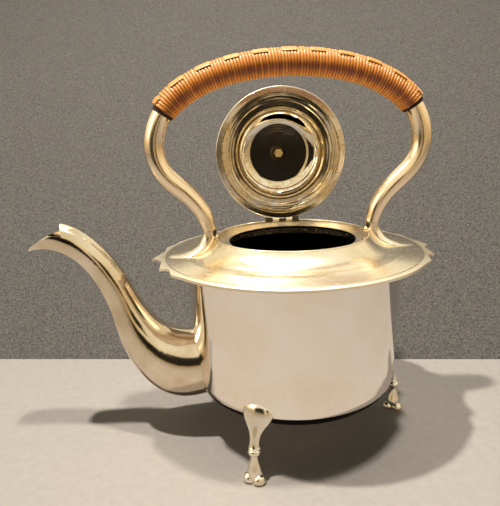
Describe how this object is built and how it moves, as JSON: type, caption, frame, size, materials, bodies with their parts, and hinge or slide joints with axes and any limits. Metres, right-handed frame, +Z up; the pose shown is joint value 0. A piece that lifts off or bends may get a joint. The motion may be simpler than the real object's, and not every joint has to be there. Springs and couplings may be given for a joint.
{
  "type": "spirit kettle",
  "caption": "Footed metal spirit kettle with a swan-neck spout, a fixed cane-wrapped overhead handle and a hinged domed lid that swings open.",
  "frame": {"origin": "on the bowl's vertical axis, in the plane of the table under the feet", "axes": "+Z up; the spout points to -X and the handle lies in the XZ plane; the lid's hinge is on the +Y side of the mouth"},
  "size_m": [0.2251, 0.1492, 0.2163],
  "materials": {
    "silver_plate": "polished silver plate, light wear",
    "cane": "split cane, lacquered",
    "cane_binding": "dark waxed thread",
    "ebonised_wood": "ebonised, polished",
    "brass_fixing": "worn"
  },
  "bodies": {
    "kettle": {"kettle_body": "silver_plate", "shoulder_brim": "silver_plate", "mouth_collar": "silver_plate", "spout": "silver_plate", "spout_strainer": "silver_plate", "foot_tail": "silver_plate", "foot_rear": "silver_plate", "foot_front": "silver_plate", "handle_frame": "silver_plate", "handle_leaf_tail_side": "silver_plate", "handle_leaf_spout_side": "silver_plate", "solder_bead_tail_side": "silver_plate", "solder_bead_spout_side": "silver_plate", "cane_binding_tail_side": "cane_binding", "cane_binding_spout_side": "cane_binding", "cane_wrap": "cane", "cane_strand": "cane", "hinge_plate": "silver_plate", "hinge_pin": "silver_plate"},
    "lid": {"lid_cover": "silver_plate", "lid_bezel": "silver_plate", "lid_leaf": "silver_plate", "finial_foot": "silver_plate", "lid_finial": "ebonised_wood", "finial_washer": "silver_plate", "finial_nut": "brass_fixing", "finial_screw": "brass_fixing"}
  },
  "joints": [
    {"name": "lid_hinge", "type": "hinge", "parent": "kettle", "child": "lid", "pos_m": [0, 0.0415, 0.1176], "axis": [1, 0, 0], "range_deg": [0, 91]}
  ]
}
